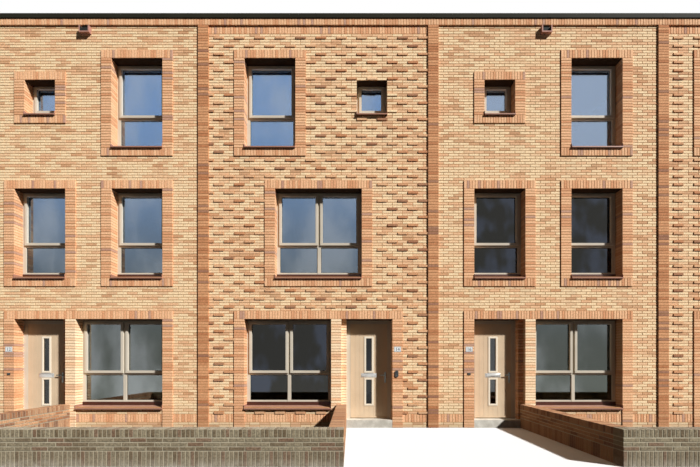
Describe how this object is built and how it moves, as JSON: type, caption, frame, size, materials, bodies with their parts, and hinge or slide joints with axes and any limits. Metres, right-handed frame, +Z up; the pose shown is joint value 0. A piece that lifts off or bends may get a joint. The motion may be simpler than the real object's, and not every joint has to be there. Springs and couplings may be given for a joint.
{
  "type": "terraced house row",
  "caption": "Row of three-storey flat-roofed brick houses with framed windows, hinged front doors and low garden walls.",
  "frame": {"origin": "on the ground under the middle party wall, halfway through the depth of the houses", "axes": "+X runs along the row to the right as seen from the street, the fronts look along -Y, +Z is up"},
  "size_m": [19.854, 12.486, 8.814],
  "materials": {
    "buff_brick": "rough yellow and pink facing brick in light mortar",
    "red_brick": "rough terracotta facing brick in light mortar",
    "garden_brick": "weathered brown brick in light mortar",
    "inner_wall": "smooth plastered block",
    "party_block": "plain sand-lime block",
    "concrete": "cast concrete",
    "roofing": "bitumen sheet",
    "dark_trim": "satin near-black coating",
    "sill_metal": "satin dark red-brown coating",
    "frame_paint": "satin bronze-grey coating",
    "door_paint": "satin bronze-grey coating",
    "window_glass": "clear double glazing",
    "step_stone": "sawn pale stone",
    "fittings_metal": "satin",
    "spout_metal": "matt red-brown coating",
    "plate_enamel": "glossy enamel",
    "bell_plastic": "matt black"
  },
  "bodies": {
    "row": {"party_walls": "party_block", "floors": "concrete", "roof_deck": "roofing", "roof_trim": "dark_trim", "front_piers": "red_brick", "top_band": "red_brick", "facing_bands": "buff_brick", "facing_panels": "buff_brick", "facing_infills": "buff_brick", "surround_sides": "red_brick", "surround_heads": "red_brick", "surround_feet": "red_brick", "door_cheeks": "red_brick", "front_wall_bands": "inner_wall", "front_wall_panels": "inner_wall", "front_wall_infills": "inner_wall", "rear_wall_bands": "buff_brick", "rear_wall_panels": "buff_brick", "rear_wall_aprons": "buff_brick", "window_sills": "sill_metal", "window_stiles": "frame_paint", "window_rails": "frame_paint", "window_panes": "window_glass", "doorsteps": "step_stone", "thresholds": "step_stone", "door_posts": "frame_paint", "door_heads": "frame_paint", "door_hinges": "fittings_metal", "rain_spouts": "spout_metal", "number_plates": "plate_enamel", "bell_pushes": "bell_plastic", "garden_front_walls": "garden_brick", "garden_side_walls": "garden_brick"},
    "door_1": {"door_leaf_1": "door_paint", "door_lights_1": "window_glass", "door_fittings_1": "fittings_metal"},
    "door_2": {"door_leaf_2": "door_paint", "door_lights_2": "window_glass", "door_fittings_2": "fittings_metal"},
    "door_3": {"door_leaf_3": "door_paint", "door_lights_3": "window_glass", "door_fittings_3": "fittings_metal"},
    "door_4": {"door_leaf_4": "door_paint", "door_lights_4": "window_glass", "door_fittings_4": "fittings_metal"}
  },
  "joints": [
    {"name": "door_1_swing", "type": "hinge", "parent": "row", "child": "door_1", "pos_m": [-8.864, -4.266, 1.208], "axis": [0, 0, 1], "range_deg": [0, 90]},
    {"name": "door_2_swing", "type": "hinge", "parent": "row", "child": "door_2", "pos_m": [-1.779, -4.266, 1.208], "axis": [0, 0, 1], "range_deg": [0, 90]},
    {"name": "door_3_swing", "type": "hinge", "parent": "row", "child": "door_3", "pos_m": [0.946, -4.266, 1.208], "axis": [0, 0, 1], "range_deg": [0, 90]},
    {"name": "door_4_swing", "type": "hinge", "parent": "row", "child": "door_4", "pos_m": [8.031, -4.266, 1.208], "axis": [0, 0, 1], "range_deg": [0, 90]}
  ]
}
